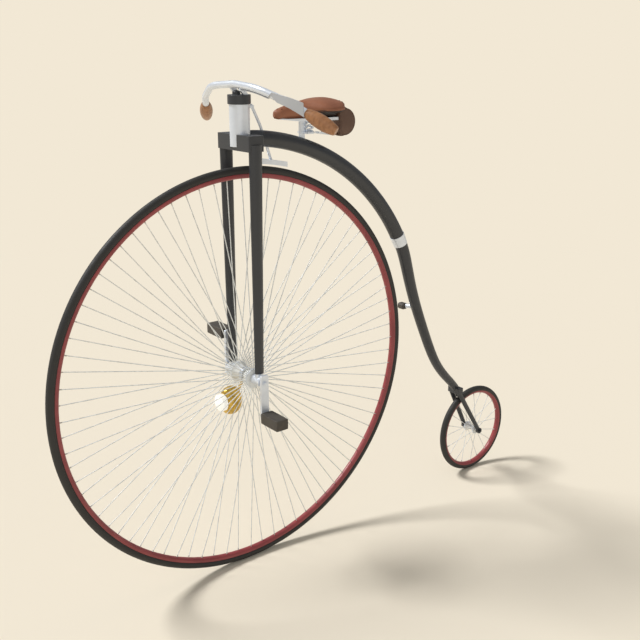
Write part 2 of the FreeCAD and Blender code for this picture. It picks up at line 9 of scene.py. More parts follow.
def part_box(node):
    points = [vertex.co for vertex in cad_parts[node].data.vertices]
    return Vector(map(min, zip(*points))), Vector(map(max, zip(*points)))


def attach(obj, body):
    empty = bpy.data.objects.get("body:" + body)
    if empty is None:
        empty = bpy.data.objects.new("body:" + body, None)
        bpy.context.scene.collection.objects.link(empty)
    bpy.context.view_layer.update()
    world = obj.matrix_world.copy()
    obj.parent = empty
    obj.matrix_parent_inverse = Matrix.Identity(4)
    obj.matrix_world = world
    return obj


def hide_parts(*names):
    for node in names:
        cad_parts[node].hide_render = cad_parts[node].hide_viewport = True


# Penny farthing bicycle: finishes for the frame's nodes, and the pieces that the frame leaves plain.
# Metres, in the frame's own axes: -Y is the front, +X the bicycle's left, +Z up.

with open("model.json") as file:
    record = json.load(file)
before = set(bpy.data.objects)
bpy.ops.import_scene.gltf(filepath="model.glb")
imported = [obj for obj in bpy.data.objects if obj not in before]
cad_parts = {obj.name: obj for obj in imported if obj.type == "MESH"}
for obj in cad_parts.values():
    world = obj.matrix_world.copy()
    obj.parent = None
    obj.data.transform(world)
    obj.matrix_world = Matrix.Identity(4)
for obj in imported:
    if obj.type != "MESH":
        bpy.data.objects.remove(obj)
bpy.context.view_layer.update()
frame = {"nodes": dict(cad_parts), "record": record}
X, Y, Z = Vector((1, 0, 0)), Vector((0, 1, 0)), Vector((0, 0, 1))


# ---- places, all taken from the frame: lowest and highest corners and middle of a node's box, and its size

def low(node):
    return Vector(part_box(node)[0])


def high(node):
    return Vector(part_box(node)[1])


def middle(node):
    return (low(node) + high(node)) / 2


def size(node):
    return high(node) - low(node)


FRONT_HUB = middle("front_axle")
REAR_HUB = middle("rear_axle")
SIDES = ((1, "left"), (-1, "right"))
FLOOR_Z = min(low("front_tyre").z, low("rear_tyre").z)


# ---- camera, floor and light

def linear(red, green, blue):
    """Colour given from 0 to 255 as it looks, in the renderer's numbers."""
    parts = [part / 255 for part in (red, green, blue)]
    return tuple(p / 12.92 if p <= 0.04045 else ((p + 0.055) / 1.055) ** 2.4 for p in parts) + (1,)


CAMERA_PLACE = (2.2393, -1.7811, 0.1547)
CAMERA_TURN = (72.886, 0, 51.784)  # degrees
BACKDROP = linear(242, 232, 213)
FLOOR_LIGHT = 1.04  # how brightly the lights fall on the floor, to full brightness
FLOOR = tuple(part / FLOOR_LIGHT for part in linear(240, 230, 211)[:3]) + (1,)
FLOOR_WIDTH = 60
SHADOWED, MELTED = 2.2, 5.0  # how far from its middle the floor starts to melt into the backdrop, and ends
SKY_STRENGTH = 0.33
# Each light's name, strength, width in degrees, and the way from the bicycle to it.
LIGHTS = (("sun", 2.8, 16, (-0.617, -0.56, 1)),
          ("fill", 0.4, 60, (0.8, -0.5, 0.35)))


def link(tree, *pairs):
    """Join each output to its input."""
    for start, end in pairs:
        tree.links.new(start, end)


def set_up_camera():
    """Camera in front of the bicycle and to its left, a little above the saddle."""
    camera = bpy.data.objects.new("camera", bpy.data.cameras.new("camera"))
    bpy.context.scene.collection.objects.link(camera)
    camera.location = CAMERA_PLACE
    camera.rotation_euler = [math.radians(turn) for turn in CAMERA_TURN]
    bpy.context.scene.camera = camera


def set_up_floor():
    """Pale matt floor that keeps the shadow near the bicycle and melts into the backdrop far from it."""
    bpy.ops.object.select_all(action="DESELECT")
    bpy.ops.mesh.primitive_plane_add(size=FLOOR_WIDTH, location=(0, 0, FLOOR_Z))
    floor = bpy.context.object
    floor.name = "floor"
    paint = bpy.data.materials.new("floor")
    paint.use_nodes = True
    tree = paint.node_tree
    tree.nodes.clear()
    matt = tree.nodes.new("ShaderNodeBsdfDiffuse")
    matt.inputs["Color"].default_value = FLOOR
    glow = tree.nodes.new("ShaderNodeEmission")
    glow.inputs["Color"].default_value = BACKDROP
    place = tree.nodes.new("ShaderNodeTexCoord")
    far = tree.nodes.new("ShaderNodeVectorMath")
    far.operation = "LENGTH"
    fade = tree.nodes.new("ShaderNodeMapRange")
    fade.interpolation_type = "SMOOTHSTEP"
    fade.inputs["From Min"].default_value = SHADOWED
    fade.inputs["From Max"].default_value = MELTED
    both = tree.nodes.new("ShaderNodeMixShader")
    end = tree.nodes.new("ShaderNodeOutputMaterial")
    link(tree, (place.outputs["Object"], far.inputs[0]), (far.outputs["Value"], fade.inputs["Value"]),
         (fade.outputs["Result"], both.inputs[0]), (matt.outputs[0], both.inputs[1]),
         (glow.outputs[0], both.inputs[2]), (both.outputs[0], end.inputs[0]))
    floor.data.materials.append(paint)


def set_up_light():
    """One soft sun from the front and the right, a weak broad light from the left, and an even white sky."""
    for name, strength, width, way in LIGHTS:
        lamp = bpy.data.objects.new(name, bpy.data.lights.new(name, "SUN"))
        bpy.context.scene.collection.objects.link(lamp)
        lamp.data.energy = strength
        lamp.data.angle = math.radians(width)
        lamp.rotation_euler = Vector(way).to_track_quat("Z", "Y").to_euler()
    world = bpy.data.worlds.new("studio")
    world.use_nodes = True
    tree = world.node_tree
    sky = tree.nodes["Background"]
    sky.inputs["Color"].default_value = (1, 1, 1, 1)
    sky.inputs["Strength"].default_value = SKY_STRENGTH
    seen = tree.nodes.new("ShaderNodeBackground")
    seen.inputs["Color"].default_value = BACKDROP
    ray = tree.nodes.new("ShaderNodeLightPath")
    either = tree.nodes.new("ShaderNodeMixShader")
    link(tree, (ray.outputs["Is Camera Ray"], either.inputs[0]), (sky.outputs[0], either.inputs[1]),
         (seen.outputs[0], either.inputs[2]), (either.outputs[0], tree.nodes["World Output"].inputs[0]))
    bpy.context.scene.world = world
    bpy.context.scene.view_settings.view_transform = "Standard"


set_up_camera()
set_up_floor()
set_up_light()


# ---- finishes

class Value:
    """A number or colour that varies over a surface. The numbers can be used in plain sums."""

    def __init__(self, finish, socket):
        self.finish, self.socket = finish, socket

    def combine(self, operation, first, second):
        return self.finish.node("Math", {"operation": operation}, {0: first, 1: second})

    def __add__(self, other):
        return self.combine("ADD", self, other)

    def __radd__(self, other):
        return self.combine("ADD", other, self)

    def __sub__(self, other):
        return self.combine("SUBTRACT", self, other)

    def __rsub__(self, other):
        return self.combine("SUBTRACT", other, self)

    def __mul__(self, other):
        return self.combine("MULTIPLY", self, other)

    def __rmul__(self, other):
        return self.combine("MULTIPLY", other, self)

    def __pow__(self, other):
        return self.combine("POWER", self, other)


class Finish:
    """A material, with one method that adds any node."""

    def __init__(self, name, **fixed):
        self.material = bpy.data.materials.new(name)
        self.material.use_nodes = True
        self.tree = self.material.node_tree
        self.shader = self.tree.nodes["Principled BSDF"]
        self.set(self.shader, {key.replace("_", " "): value for key, value in fixed.items()})
        self.place = self.node("TexCoord", out="Object")

    def set(self, made, sockets):
        """Fill a node's sockets with values or fixed numbers."""
        for key, value in sockets.items():
            if isinstance(value, Value):
                self.tree.links.new(value.socket, made.inputs[key])
            else:
                made.inputs[key].default_value = value

    def node(self, kind, settings=None, sockets=None, out=0):
        """Add a node of a kind and give the value of one of its outputs."""
        made = self.tree.nodes.new("ShaderNode" + kind)
        for key, value in (settings or {}).items():
            setattr(made, key, value)
        self.set(made, sockets or {})
        return Value(self, made.outputs[out])

    def shade(self, **sockets):
        """Fill sockets of the surface shader, named with _ for each space."""
        self.set(self.shader, {key.replace("_", " "): value for key, value in sockets.items()})
        return self

    def noise(self, scale, detail, stretch=None):
        """Cloudy pattern from 0 to 1, so many grains to the metre, drawn out along axes of low stretch."""
        where = self.place
        if stretch:
            where = self.node("Mapping", None, {"Vector": where, "Scale": stretch})
        return self.node("TexNoise", None, {"Vector": where, "Scale": scale, "Detail": detail})

    def cells(self, scale):
        """Distance from the edges between cells, so many cells to the metre."""
        return self.node("TexVoronoi", {"feature": "DISTANCE_TO_EDGE"},
                         {"Vector": self.place, "Scale": scale})

    def step(self, value, start, end):
        """0 below start, 1 above end, and smooth between."""
        return self.node("MapRange", {"interpolation_type": "SMOOTHSTEP"},
                         {"Value": value, "From Min": start, "From Max": end})

    def blend(self, factor, first, second):
        """The first colour where the factor is 0, and the second where it is 1."""
        return self.node("Mix", {"data_type": "RGBA"}, {0: factor, 6: first, 7: second}, out=2)

    def bump(self, height, depth, strength):
        """Slope of a surface whose height, from 0 to 1, is so deep in metres."""
        return self.node("Bump", None, {"Height": height, "Distance": depth, "Strength": strength})

    def axis(self, letter):
        """Place along X, Y or Z."""
        return self.node("SeparateXYZ", None, {0: self.place}, out=letter)


def dark_enamel():
    """Baked black enamel, greyed a little with age, with a fine orange peel."""
    paint = Finish("dark_enamel", Coat_Roughness=0.18)
    age = paint.step(paint.noise(9.0, 4.0), 0.35, 0.7)
    fine = paint.noise(420.0, 2.0)
    return paint.shade(Base_Color=paint.blend(age, linear(43, 46, 52), linear(51, 53, 57)),
                       Roughness=0.38 + 0.1 * age, Coat_Weight=0.3 - 0.15 * age,
                       Normal=paint.bump(fine, 0.0003, 0.12)).material


def rim_enamel():
    """Red enamel, dulled in patches."""
    paint = Finish("rim_enamel", Coat_Roughness=0.2)
    age = paint.step(paint.noise(14.0, 4.0), 0.3, 0.75)
    return paint.shade(Base_Color=paint.blend(age, linear(155, 64, 67), linear(136, 56, 60)),
                       Roughness=0.4 + 0.12 * age, Coat_Weight=0.25 - 0.1 * age,
                       Normal=paint.bump(paint.noise(380.0, 2.0), 0.0003, 0.12)).material


def nickel(name, tone, dull, rough):
    """Nickel plate, bright but hand polished, with cloudy dull patches."""
    plate = Finish(name, Metallic=0.4)
    cloud = plate.step(plate.noise(30.0, 4.0), 0.38, 0.72)
    brush = plate.noise(900.0, 2.0, (1, 1, 0.06))
    return plate.shade(Base_Color=plate.blend(cloud * 0.5, linear(*tone), linear(*dull)),
                       Roughness=rough + 0.12 * cloud + 0.05 * brush,
                       Normal=plate.bump(brush, 0.0002, 0.1)).material


def spoke_wire():
    """Plated wire gone matt, with duller patches."""
    wire = Finish("spoke_wire")
    dull = wire.step(wire.noise(60.0, 3.0), 0.4, 0.7)
    return wire.shade(Base_Color=wire.blend(dull, linear(238, 240, 238), linear(214, 216, 214)),
                      Roughness=0.5 + 0.15 * dull).material


def tyre_rubber():
    """Solid black rubber, dusty grey in patches."""
    rubber = Finish("solid_rubber")
    dust = rubber.step(rubber.noise(22.0, 5.0), 0.42, 0.75)
    pores = rubber.noise(700.0, 3.0)
    return rubber.shade(Base_Color=rubber.blend(dust * 0.6, linear(43, 42, 41), linear(58, 56, 52)),
                        Roughness=0.58 + 0.2 * dust, Normal=rubber.bump(pores, 0.0004, 0.25)).material


def pedal_rubber():
    """Brownish grey rubber, paler where it is worn."""
    rubber = Finish("pedal_rubber")
    worn = rubber.step(rubber.noise(60.0, 4.0), 0.4, 0.75)
    return rubber.shade(Base_Color=rubber.blend(worn, linear(71, 66, 60), linear(86, 79, 71)),
                        Roughness=0.6 + 0.2 * worn,
                        Normal=rubber.bump(rubber.noise(500.0, 3.0), 0.0004, 0.3)).material


def leather(name, tone, deep, pale, painted_shade_colour=None):
    """Leather: pebbled grain, darker in the creases and paler where it is rubbed. The last colour, if given,
    is
    painted shade: a near black laid on where the under attribute of its piece says."""
    hide = Finish(name)
    patch = hide.step(hide.noise(16.0, 5.0), 0.3, 0.72)
    rubbed = hide.step(hide.noise(7.0, 2.0), 0.52, 0.78)
    crease = hide.step(hide.cells(520.0), 0.0, 0.12)
    colour = hide.blend(patch, linear(*tone), linear(*deep))
    colour = hide.blend(rubbed * 0.6, colour, linear(*pale))
    colour = hide.blend((1 - crease) * 0.3, colour, linear(*deep))
    if painted_shade_colour:
        # painted shade: the last colour, near black, goes where the piece's under attribute is set
        under = hide.node("Attribute", {"attribute_name": "under"}, out="Fac")
        colour = hide.blend(under, colour, linear(*painted_shade_colour))
    height = crease * 0.6 + hide.noise(1400.0, 3.0) * 0.25
    return hide.shade(Base_Color=colour, Roughness=0.44 + 0.18 * patch - 0.08 * rubbed,
                      Normal=hide.bump(height, 0.0006, 0.3)).material


def turned_wood():
    """Varnished beech with a streaked grain."""
    wood = Finish("turned_wood", Coat_Roughness=0.2)
    grain = wood.noise(160.0, 5.0, (1.0, 0.35, 0.35))
    streak = wood.step(grain, 0.35, 0.7)
    return wood.shade(Base_Color=wood.blend(streak, linear(170, 118, 76), linear(148, 100, 62)),
                      Roughness=0.42 + 0.12 * streak, Coat_Weight=0.3 - 0.1 * streak,
                      Normal=wood.bump(grain, 0.0004, 0.15)).material


BRASS, TARNISH, OLD_TARNISH = linear(232, 194, 94), linear(197, 160, 68), linear(164, 138, 58)
PALE_NICKEL = linear(212, 218, 227)
NICKEL_RIM, BRASS_RIM = 0.0255, 0.0275  # radii about the hub between which the hanger's nickel turns to brass


def brass(name, parted=False):
    """Brass with tarnish running down it; a parted piece is nickel where it goes round the hub."""
    metal = Finish(name, Metallic=0.65)
    run = metal.step(metal.noise(130.0, 3.0, (1.0, 1.0, 0.2)), 0.36, 0.68)
    cloud = metal.step(metal.noise(60.0, 4.0), 0.4, 0.7)
    colour = metal.blend(run, BRASS, TARNISH)
    colour = metal.blend(cloud * 0.3, colour, OLD_TARNISH)
    if parted:
        away = (metal.axis("Y") - FRONT_HUB.y) ** 2 + (metal.axis("Z") - FRONT_HUB.z) ** 2
        colour = metal.blend(metal.step(away ** 0.5, NICKEL_RIM, BRASS_RIM), PALE_NICKEL, colour)
    return metal.shade(Base_Color=colour, Roughness=0.26 + 0.18 * cloud,
                       Normal=metal.bump(cloud, 0.0003, 0.15)).material


def lamp_glass():
    """Frosted bull's-eye glass in front of a white reflector."""
    glass = Finish("lamp_glass", Emission_Strength=0.35, Coat_Roughness=0.06)
    haze = glass.noise(90.0, 3.0)
    white = glass.blend(haze, linear(250, 249, 244), linear(240, 240, 232))
    return glass.shade(Base_Color=white, Emission_Color=white, Roughness=0.12 + 0.15 * haze,
                       Coat_Weight=0.8).material


def old_copper():
    """Copper gone brown in patches."""
    copper = Finish("old_copper", Metallic=0.5)
    brown = copper.step(copper.noise(200.0, 3.0), 0.35, 0.7)
    return copper.shade(Base_Color=copper.blend(brown, linear(150, 98, 68), linear(110, 72, 52)),
                        Roughness=0.4 + 0.2 * brown).material


# the saddle's last colour, near black, is painted shade for its underside
SADDLE_LEATHER = leather("saddle_leather", (160, 102, 72), (134, 82, 58), (176, 118, 86), (36, 25, 20))
BAG_LEATHER = leather("bag_leather", (106, 80, 65), (92, 66, 53), (116, 90, 74))
FINISHES = {"dark_paint": dark_enamel(),
            "silver": nickel("nickel_plate", (232, 238, 247), (219, 226, 236), 0.28),
            "red_paint": rim_enamel(),
            "tyre_rubber": tyre_rubber(),
            "pedal_rubber": pedal_rubber(),
            "brown_leather": SADDLE_LEATHER,
            "dark_leather": BAG_LEATHER,
            "grip_wood": turned_wood(),
            "lamp_brass": brass("lamp_brass"),
            "lamp_glass": lamp_glass()}
WIRE = spoke_wire()
OLD_NICKEL = nickel("old_nickel", (204, 202, 195), (184, 181, 174), 0.5)
LEVER_STEEL = nickel("lever_steel", (196, 199, 204), (186, 188, 194), 0.42)
OLD_COPPER = old_copper()

for entry in frame["record"]["subparts"]:
    node = frame["nodes"][entry["node"]]
    node.data.materials.clear()
    node.data.materials.append(FINISHES[entry["material_slot"]])
for name in ("front_hub_and_spokes", "rear_hub_and_spokes"):
    frame["nodes"][name].data.materials[0] = WIRE
frame["nodes"]["lamp_hanger"].data.materials[0] = brass("hanger_brass", parted=True)


# ---- modelling helpers

def deselect():
    bpy.ops.object.select_all(action="DESELECT")


def begin(name):
    """Name the primitive just added and open it for editing."""
    piece = bpy.context.object
    piece.name = piece.data.name = name
    bpy.ops.object.mode_set(mode="EDIT")
    return piece


def cylinder(name, place, along, radius, length, sides):
    """Open a new cylinder for editing, centred on a place with its axis along a direction."""
    deselect()
    bpy.ops.mesh.primitive_cylinder_add(vertices=sides, radius=radius, depth=length, location=place,
                                        rotation=along.to_track_quat("Z", "Y").to_euler())
    return begin(name)


def block(name, sizes):
    """Open a new block about the origin for editing."""
    deselect()
    bpy.ops.mesh.primitive_cube_add(size=1, location=(0, 0, 0), scale=sizes)
    return begin(name)


def choose(test):
    """Select the faces of the piece being edited that pass a test."""
    bpy.ops.mesh.select_mode(type="FACE")
    bpy.ops.mesh.select_all(action="DESELECT")
    mesh = bmesh.from_edit_mesh(bpy.context.object.data)
    for face in mesh.faces:
        if test(face):
            face.select_set(True)
    mesh.select_flush_mode()
    bmesh.update_edit_mesh(bpy.context.object.data)


def centre(face):
    """Middle of a face, in the piece's own numbers."""
    return sum((v.co for v in face.verts), Vector()) / len(face.verts)


def bevel(width, segments, limit=40):
    """Round every edge sharper than a limit in degrees."""
    bpy.ops.mesh.select_mode(type="EDGE")
    bpy.ops.mesh.select_all(action="DESELECT")
    bpy.ops.mesh.edges_select_sharp(sharpness=math.radians(limit))
    bpy.ops.mesh.bevel(offset=width, segments=segments, affect="EDGES", clamp_overlap=True)


SAME_PLACE = 0.00001


def close_up():
    """Merge what meets and turn the faces outwards."""
    bpy.ops.mesh.select_mode(type="VERT")
    bpy.ops.mesh.select_all(action="SELECT")
    bpy.ops.mesh.remove_doubles(threshold=SAME_PLACE)
    bpy.ops.mesh.normals_make_consistent(inside=False)


def settle(piece, angle=35):
    """Close the piece, with its place in its mesh. Edges sharper than an angle in degrees stay sharp."""
    if bpy.context.object.mode == "EDIT":
        bpy.ops.object.mode_set(mode="OBJECT")
    deselect()
    piece.select_set(True)
    bpy.context.view_layer.objects.active = piece
    bpy.ops.object.transform_apply(location=True, rotation=True, scale=True)
    bpy.ops.object.shade_smooth_by_angle(angle=math.radians(angle))
    return piece


def dress(piece, body, slot, finish=None):
    """Give a piece its body and its finish, which is the slot's finish if none is given."""
    piece.data.materials.clear()
    piece.data.materials.append(finish or FINISHES[slot])
    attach(piece, body)


def copies(piece, name, places):
    """Copy a piece to every place given, each copy with a mesh of its own, and join the copies."""
    made = []
    for place in places:
        twin = piece.copy()
        twin.data = piece.data.copy()
        twin.data.transform(place)
        bpy.context.scene.collection.objects.link(twin)
        made.append(twin)
    bpy.data.objects.remove(piece)
    deselect()
    for twin in made:
        twin.select_set(True)
    bpy.context.view_layer.objects.active = made[0]
    bpy.ops.object.join()
    joined = bpy.context.object
    joined.name = joined.data.name = name
    return joined


def turned(name, points, place, along, sides):
    """Turn a closed profile of (distance along the axis, radius) about an axis."""
    deselect()
    across = along.orthogonal().normalized()
    bpy.ops.mesh.primitive_circle_add(vertices=len(points), radius=1, fill_type="NOTHING")
    piece = begin(name)
    mesh = bmesh.from_edit_mesh(piece.data)
    for vert, (run, radius) in zip(mesh.verts, points):
        vert.co = place + along * run + across * radius
    bmesh.update_edit_mesh(piece.data)
    bpy.ops.mesh.select_all(action="SELECT")
    bpy.ops.mesh.spin(steps=sides, angle=math.tau, center=place, axis=along)
    close_up()
    return piece


def drawn(name, sides, stations, place):
    """Closed round piece with two ends: place(station, turn) gives the points round each of a row of
    stations, of which the first and the last are the middles of its ends."""
    deselect()
    rings = len(stations) - 1
    bpy.ops.mesh.primitive_uv_sphere_add(segments=sides, ring_count=rings, radius=1)
    piece = begin(name)
    mesh = bmesh.from_edit_mesh(piece.data)
    for vert in mesh.verts:
        spot = vert.co.normalized()
        number = round(math.acos(max(-1.0, min(1.0, spot.z))) / math.pi * rings)
        vert.co = place(stations[number], math.atan2(spot.y, spot.x))
    bmesh.update_edit_mesh(piece.data)
    close_up()
    return piece


def hoop(name, path, section):
    """Band round a closed path of (place, outward direction), with a section of (across, outward) points."""
    deselect()
    bpy.ops.mesh.primitive_torus_add(major_segments=len(path), minor_segments=len(section))
    piece = begin(name)
    mesh = bmesh.from_edit_mesh(piece.data)
    for number, vert in enumerate(mesh.verts):
        place, out = path[number // len(section)]
        across, depth = section[number % len(section)]
        vert.co = place + X * across + out * depth
    bmesh.update_edit_mesh(piece.data)
    close_up()
    return piece


def swept(name, corners, stations, place):
    """Bar of any section along a path: place(station, corner) gives each corner of the section at each
    station."""
    deselect()
    bpy.ops.mesh.primitive_circle_add(vertices=corners, radius=1, fill_type="NGON")
    piece = begin(name)
    bpy.ops.mesh.select_all(action="SELECT")
    for _ in stations[1:]:
        bpy.ops.mesh.extrude_region_move(TRANSFORM_OT_translate={"value": (0, 0, 1)})
    mesh = bmesh.from_edit_mesh(piece.data)
    for vert in mesh.verts:
        turn = math.atan2(vert.co.y, vert.co.x) / math.tau * corners
        vert.co = place(stations[round(vert.co.z)], round(turn) % corners)
    bmesh.update_edit_mesh(piece.data)
    close_up()
    return piece


def facing(place, out, up):
    """Placing matrix that turns a piece's Z towards out and its Y towards up."""
    out = out.normalized()
    side = up.cross(out).normalized()
    return Matrix.Translation(place) @ Matrix((side, out.cross(side), out)).transposed().to_4x4()


def progress(value, start, end):
    """How far a value has come from start to end, held between 0 and 1."""
    return min(1.0, max(0.0, (value - start) / (end - start)))


# ---- wheels

# Each wheel's name and hub, the steps round its tyre, and its number of spokes. A spoke's foot and tip are
# (radius, distance from the wheel's middle plane); the foot is on a flange, of which the radius and half the
# thickness come last.
WHEELS = (("front", FRONT_HUB, 200, 80, (0.026, 0.043), (0.627, 0.002), 0.030, 0.0028),
          ("rear", REAR_HUB, 120, 20, (0.014, 0.022), (0.152, 0.002), 0.018, 0.0014))
TYRE_FULLNESS = 1.03  # radius of a tyre's section, to half the width of its node
NIPPLE_RADIUS, NIPPLE_LENGTH, NIPPLE_SEAT = 0.0019, 0.006, 0.0075
NECK_INSET, NECK_LENGTH = 0.0007, 0.002
BEAD_RADIUS = 0.0009
NUT_SIDES = 6
CRANK_NUT, AXLE_NUT = (0.0068, 0.004), (0.0065, 0.005)  # radius and height
AXLE_NUT_SUNK = 0.002
WASHER_ROUNDING = 0.0003


def round_tyre(name, node, hub, body, steps):
    """Solid tyre of round section, swept about its hub."""
    outer = size(node).z / 2
    section = size(node).x / 2 * TYRE_FULLNESS
    deselect()
    bpy.ops.mesh.primitive_circle_add(vertices=32, radius=section, fill_type="NOTHING",
                                      location=hub + Z * (outer - section), rotation=(math.pi / 2, 0, 0))
    piece = begin(name)
    bpy.ops.mesh.select_all(action="SELECT")
    bpy.ops.mesh.spin(steps=steps, angle=math.tau, center=hub, axis=X)
    close_up()
    dress(settle(piece, 60), body, "tyre_rubber")
    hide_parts(node)


def spoke_line(hub, number, count, foot, tip):
    """Both ends of a spoke, every other one of which starts from the other flange."""
    turn = math.tau * number / count
    side = 1 if number % 2 == 0 else -1
    out = Y * math.sin(turn) + Z * math.cos(turn)
    start = hub + out * foot[0] + X * side * foot[1]
    end = hub + out * tip[0] + X * side * tip[1]
    return start, end


def nipples(name, hub, body, count, foot, tip):
    """Six-sided nipples with a narrower neck, where the spokes enter the rim."""
    piece = cylinder("nipple", (0, 0, 0), Z, NIPPLE_RADIUS, NIPPLE_LENGTH, NUT_SIDES)
    choose(lambda f: centre(f).z < -NIPPLE_LENGTH / 3)
    bpy.ops.mesh.inset(thickness=NECK_INSET, depth=0)
    bpy.ops.mesh.extrude_region_shrink_fatten(TRANSFORM_OT_shrink_fatten={"value": NECK_LENGTH})
    close_up()
    settle(piece, 30)
    places = []
    for number in range(count):
        start, end = spoke_line(hub, number, count, foot, tip)
        along = (end - start).normalized()
        place = end - along * NIPPLE_SEAT
        places.append(Matrix.Translation(place) @ along.to_track_quat("Z", "X").to_matrix().to_4x4())
    dress(copies(piece, name, places), body, "silver", OLD_NICKEL)


def hub_beads(name, hub, body, flange, radius, half):
    """Rounded lips on both edges of each flange."""
    deselect()
    bpy.ops.mesh.primitive_torus_add(major_radius=radius, minor_radius=BEAD_RADIUS, major_segments=72,
                                     minor_segments=8, location=(0, 0, 0),
                                     rotation=X.to_track_quat("Z", "Y").to_euler())
    piece = settle(begin("bead"))
    places = [Matrix.Translation(hub + X * side * (flange + edge * half))
              for side in (1, -1) for edge in (1, -1)]
    dress(copies(piece, name, places), body, "silver")


def dome_nut(name, place, along, body, radius, height, slot):
    """Six-sided nut with a washer under it and a domed end. In shares of its height, the washer's middle is
    at 0.05, and the nut goes straight up from 0.1 to 0.8, narrows to 1.0 and ends at 1.1."""
    piece = cylinder(name, place + along * height * 0.45, along, radius, height * 0.7, NUT_SIDES)
    choose(lambda f: len(f.verts) == NUT_SIDES and f.normal.z > 0.9)
    bpy.ops.mesh.inset(thickness=radius * 0.18, depth=0)
    bpy.ops.mesh.extrude_region_shrink_fatten(TRANSFORM_OT_shrink_fatten={"value": height * 0.2})
    bpy.ops.mesh.inset(thickness=radius * 0.25, depth=height * 0.1)
    bevel(radius * 0.05, 2)
    close_up()
    settle(piece)
    washer = cylinder(name + "_washer", place + along * height * 0.05, along,
                      radius * 1.25, height * 0.12, 32)
    bevel(WASHER_ROUNDING, 1)
    close_up()
    settle(washer)
    deselect()
    washer.select_set(True)
    piece.select_set(True)
    bpy.context.view_layer.objects.active = piece
    bpy.ops.object.join()
    dress(piece, body, slot)


def axle_end(node, side, sunk):
    """Middle of an axle's end on one side, or a little way in from it."""
    return middle(node) + X * side * (size(node).x / 2 - sunk)


for wheel, hub, steps, count, foot, tip, flange_radius, flange_half in WHEELS:
    body = wheel + "_wheel"
    round_tyre(wheel + "_round_tyre", wheel + "_tyre", hub, body, steps)
    nipples(wheel + "_nipples", hub, body, count, foot, tip)
    hub_beads(wheel + "_hub_beads", hub, body, foot[1], flange_radius, flange_half)
for side, name in SIDES:
    dome_nut("crank_nut_" + name, axle_end("front_axle", side, 0), X * side, "front_wheel",
             *CRANK_NUT, "silver")
    dome_nut("rear_axle_nut_" + name, axle_end("rear_axle", side, AXLE_NUT_SUNK), X * side, "frame",
             *AXLE_NUT, "dark_paint")


# ---- brake lever

LEVER_TRIM = 0.002  # how far the lever starts outside the inner end of its node
BAR_STEP = 0.002  # half the stretch over which the bar's direction is taken
PIVOT_INSET, PIVOT_DROP, PIVOT_RADIUS, PIVOT_LENGTH = 0.005, 0.0125, 0.0034, 0.014


def middle_at(node, x):
    """Middle of a node's section at one distance across the bicycle."""
    mesh = frame["nodes"][node].data
    cuts = []
    for edge in mesh.edges:
        start, end = (mesh.vertices[k].co for k in edge.vertices)
        if (start.x - x) * (end.x - x) < 0:
            cuts.append(start.lerp(end, (x - start.x) / (end.x - start.x)))
    return sum(cuts, Vector()) / len(cuts)


def brake_lever():
    """Flat steel lever: it runs close under the bar, turns up in front of it, and widens to its end at the
    grip."""
    # Where it starts, turns up and ends across the bicycle, and the steps between.
    inner, outer = low("brake_lever").x + LEVER_TRIM, high("brake_lever").x
    turn_in, turn_out = 0.160, 0.172
    stations = [inner]
    for start, end, steps in ((inner, turn_in, 8), (turn_in, turn_out, 6), (turn_out, outer, 12)):
        stations += [start + (end - start) * k / steps for k in range(1, steps + 1)]
    # Its section: both faces' distances from the middle of the bar, and the rounding of its corners.
    near, far, soft = 0.0111, 0.0111 + 0.0024, 0.0005
    # Half its height under the bar, what the turn and the end add above, and its drop past the turn.
    strip_half, lift, widening = 0.0045, 0.006, 0.0115
    drop, drop_length = 0.0106, 0.02
    # Its slanted end: how much it slants, and how far it reaches out at the bar's height.
    end_slant, end_reach = 0.64, 0.0076

    def place(x, corner):
        at = middle_at("handlebar", x)
        before, after = (middle_at("handlebar", x + step) for step in (-BAR_STEP, BAR_STEP))
        way = (after - before).normalized()
        front = way.cross(Z).normalized()
        above = front.cross(way).normalized()
        turned_up = progress(x, turn_in, turn_out)
        widened = progress(x, turn_out, outer)
        dropped = progress(x, turn_out, turn_out + drop_length)
        roll = math.radians(-90 + 90 * turned_up)
        out = front * math.cos(roll) + above * math.sin(roll)
        over = above * math.cos(roll) - front * math.sin(roll)
        bottom = -strip_half * (1 - turned_up) - drop * dropped
        top = strip_half + lift * turned_up + widening * widened ** 1.2
        corners = ((near, bottom + soft), (near + soft, bottom), (far - soft, bottom), (far, bottom + soft),
                   (far, top - soft), (far - soft, top), (near + soft, top), (near, top - soft))
        depth, height = corners[corner]
        slant = (end_reach - end_slant * height) * widened ** 4
        return at + out * depth + over * height + way * slant

    lever = swept("lever_blade", 8, stations, place)
    dress(settle(lever, 40), "steering", "silver", LEVER_STEEL)
    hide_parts("brake_lever")


def lever_pivot():
    """Short pin under the bar, on which the lever hangs."""
    at = middle_at("handlebar", low("brake_lever").x + LEVER_TRIM + PIVOT_INSET)
    pivot = cylinder("lever_pivot", at - Z * PIVOT_DROP, Y, PIVOT_RADIUS, PIVOT_LENGTH, 16)
    choose(lambda f: abs(f.normal.z) > 0.9)
    bpy.ops.mesh.inset(thickness=0.001, depth=0.0006)
    close_up()
    dress(settle(pivot, 40), "steering", "silver")


brake_lever()
lever_pivot()


# ---- pedals

PEDAL_SLACK = 0.015  # share of its size by which a pedal's corners lie in from the middles of its sides
PEDAL_ROUNDING = 0.0012


def pedal_block(name, node, body):
    """Rubber block, moulded a little full between its rounded edges."""
    piece = block(name, (1, 1, 1))
    sizes, at = size(node), middle(node)
    bpy.ops.mesh.select_all(action="SELECT")
    bpy.ops.mesh.subdivide(number_cuts=5)
    mesh = bmesh.from_edit_mesh(piece.data)
    for vert in mesh.verts:
        spot = vert.co * 2
        fill = [1 - PEDAL_SLACK * (spot[(k + 1) % 3] * spot[(k + 2) % 3]) ** 2 for k in range(3)]
        vert.co = Vector([at[k] + vert.co[k] * sizes[k] * fill[k] for k in range(3)])
    bmesh.update_edit_mesh(piece.data)
    bevel(PEDAL_ROUNDING, 2, 55)
    close_up()
    dress(settle(piece, 50), body, "pedal_rubber")
    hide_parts(node)


